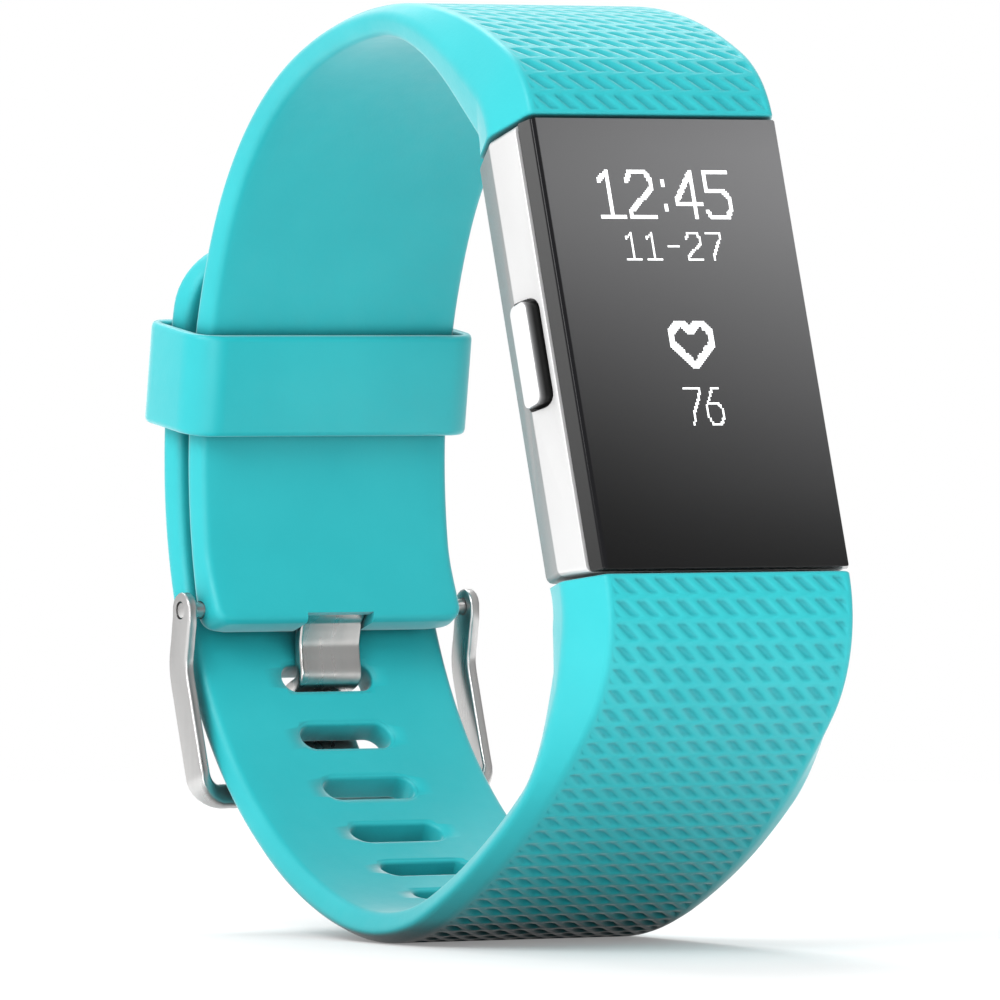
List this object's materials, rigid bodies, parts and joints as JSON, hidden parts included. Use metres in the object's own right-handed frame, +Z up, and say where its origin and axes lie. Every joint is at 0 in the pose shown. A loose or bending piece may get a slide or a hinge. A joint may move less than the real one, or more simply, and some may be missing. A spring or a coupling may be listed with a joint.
{
  "type": "fitness tracker band",
  "caption": "Slim wrist fitness tracker with a glass display on a buckled two-piece elastomer strap with keeper loop and pin buckle.",
  "frame": {"origin": "bottom centre of the bounding box, on the surface the loop stands on", "axes": "+X across the band (the wrist's axis), -Y the side the display faces, +Z up"},
  "size_m": [0.023, 0.0613, 0.0627],
  "materials": {
    "anodised_aluminium": "satin anodised, pale silver",
    "cover_glass": "glossy black-backed cover glass",
    "black_rubber": "matt",
    "display": "dark OLED panel",
    "circuit_board": "solder mask",
    "battery_wrap": "laminate pouch",
    "gold_flex": "polyimide flex",
    "black_plastic": "fine moulded grain",
    "stainless_steel": "satin brushed",
    "sensor_glass": "glossy dark window",
    "green_led": "clear green",
    "gold_contact": "gold plated",
    "teal_silicone": "moulded with fine diagonal dimples outside, smooth inside",
    "teal_silicone_smooth": "smooth satin",
    "tungsten": "sintered metal"
  },
  "bodies": {
    "band": {"case_frame": "anodised_aluminium", "cover_glass": "cover_glass", "lens_gasket": "black_rubber", "display_panel": "display", "main_board": "circuit_board", "battery": "battery_wrap", "display_flex": "gold_flex", "sensor_board": "circuit_board", "motion_sensor": "black_plastic", "button_seal": "black_rubber", "tactile_switch": "black_plastic", "motor_case": "stainless_steel", "motor_shaft": "stainless_steel", "rear_cover": "black_plastic", "sensor_window": "sensor_glass", "rear_seal": "black_rubber", "heart_led_1": "green_led", "heart_led_2": "green_led", "photodiode": "black_plastic", "charge_contact_1": "gold_contact", "charge_contact_2": "gold_contact", "buckle_strap": "teal_silicone", "holed_strap": "teal_silicone", "upper_end_fitting": "stainless_steel", "lower_end_fitting": "stainless_steel", "upper_latch_spring": "stainless_steel", "lower_latch_spring": "stainless_steel", "buckle_pin": "stainless_steel"},
    "side_button": {"side_button": "anodised_aluminium"},
    "switch_plunger": {"switch_plunger": "black_plastic"},
    "upper_latch": {"upper_latch": "anodised_aluminium"},
    "lower_latch": {"lower_latch": "anodised_aluminium"},
    "buckle_frame": {"buckle_frame": "stainless_steel"},
    "buckle_tongue": {"buckle_tongue": "stainless_steel"},
    "keeper": {"keeper": "teal_silicone_smooth"},
    "motor_rotor": {"motor_rotor": "tungsten"}
  },
  "joints": [
    {"name": "button_press", "type": "slide", "parent": "band", "child": "side_button", "axis": [1, 0, 0], "range_m": [0, 0.0004]},
    {"name": "plunger_press", "type": "slide", "parent": "band", "child": "switch_plunger", "axis": [1, 0, 0], "range_m": [0, 0.0004]},
    {"name": "upper_latch_slide", "type": "slide", "parent": "band", "child": "upper_latch", "axis": [0, 0.3074, 0.9516], "range_m": [0, 0.0005]},
    {"name": "lower_latch_slide", "type": "slide", "parent": "band", "child": "lower_latch", "axis": [0, -0.3074, -0.9516], "range_m": [0, 0.0005]},
    {"name": "buckle_frame_swing", "type": "hinge", "parent": "band", "child": "buckle_frame", "pos_m": [0, 0.02354, 0.02175], "axis": [1, 0, 0], "range_deg": [-0.5, 110]},
    {"name": "buckle_tongue_swing", "type": "hinge", "parent": "band", "child": "buckle_tongue", "pos_m": [0, 0.02354, 0.02175], "axis": [1, 0, 0], "range_deg": [-0.8, 0.7]},
    {"name": "keeper_slide", "type": "hinge", "parent": "band", "child": "keeper", "pos_m": [0, -0.01286, 0.03182], "axis": [1, 0, 0], "range_deg": [-13, 10]},
    {"name": "motor_spin", "type": "hinge", "parent": "band", "child": "motor_rotor", "pos_m": [0, -0.01848, 0.04779], "axis": [0, -0.9516, 0.3074], "continuous": true}
  ],
  "couplings": [
    {"joint": "plunger_press", "follows": "button_press", "ratio": 1}
  ]
}
